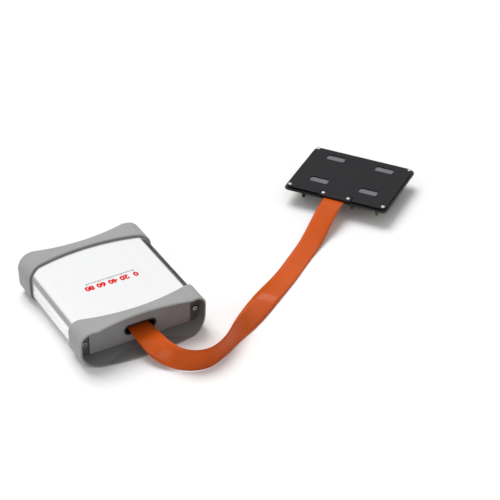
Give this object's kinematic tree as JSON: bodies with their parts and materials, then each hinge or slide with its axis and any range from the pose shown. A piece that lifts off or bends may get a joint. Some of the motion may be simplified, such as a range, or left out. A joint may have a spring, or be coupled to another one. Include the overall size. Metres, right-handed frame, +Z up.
{
  "type": "temperature verification device",
  "caption": "Temperature logger in a split aluminium case with scooped rubber bumpers, a flat flexible ribbon lead and a probe fixture that stands on conical well probes.",
  "frame": {"origin": "on the table, below the middle of the outer face of the logger's front panel, the one with the lead port", "axes": "+Z up; +Y from the lead port into the box, along its length; +X to the right for someone who looks at the port"},
  "size_m": [0.4322, 0.2524, 0.039],
  "materials": {
    "bumper_rubber": "matt moulded rubber, fine grain",
    "case_aluminium": "satin clear anodised extrusion, brushed lengthways",
    "panel_plastic": "fine satin texture",
    "bezel_plastic": "satin black",
    "screw_steel": "bright zinc",
    "board_laminate": "green solder mask over glass laminate",
    "socket_plastic": "satin black moulding",
    "contact_gold": "gold flash",
    "chip_epoxy": "matt moulding compound",
    "shield_tin": "tinned sheet",
    "cell_wrap": "foil pouch",
    "foam": "closed-cell foam",
    "ribbon_film": "amber polyimide film over copper tracks",
    "carrier_laminate": "black glass laminate",
    "cone_metal": "fine turned, pale gold finish",
    "pad_silicone": "matt silicone sheet",
    "cover_metal": "black anodised",
    "button_plastic": "satin dark grey",
    "plunger_plastic": "white moulding",
    "light_plastic": "clear moulding"
  },
  "bodies": {
    "logger": {"front_bumper": "bumper_rubber", "rear_bumper": "bumper_rubber", "shell_top": "case_aluminium", "shell_bottom": "case_aluminium", "front_panel": "panel_plastic", "rear_panel": "panel_plastic", "port_bezel": "bezel_plastic", "front_screws": "screw_steel", "rear_screws": "screw_steel", "main_board": "board_laminate", "ribbon_socket": "socket_plastic", "power_switch": "socket_plastic", "socket_pins": "contact_gold", "battery_tabs": "contact_gold", "board_chips": "chip_epoxy", "shield_can": "shield_tin", "usb_socket": "shield_tin", "battery": "cell_wrap", "battery_foam": "foam", "status_led": "plunger_plastic", "light_pipe": "light_plastic"},
    "button": {"power_button": "button_plastic", "switch_plunger": "plunger_plastic"},
    "probe_lead": {"lead_plug": "socket_plastic", "plug_contacts": "contact_gold", "ribbon_lead": "ribbon_film", "probe_carrier": "carrier_laminate", "probe_cones": "cone_metal", "sensor_flex": "ribbon_film", "pressure_pad": "pad_silicone", "fixture_cover": "cover_metal", "ribbon_clamp": "cover_metal", "fixture_screws": "screw_steel", "fixture_nuts": "screw_steel"}
  },
  "joints": [
    {"name": "button_press", "type": "slide", "parent": "logger", "child": "button", "axis": [0, -1, 0], "range_m": [0, 0.0008], "stiffness_N_per_m": 600},
    {"name": "lead_pull", "type": "slide", "parent": "logger", "child": "probe_lead", "axis": [0, -1, 0], "range_m": [0, 0.03]}
  ]
}
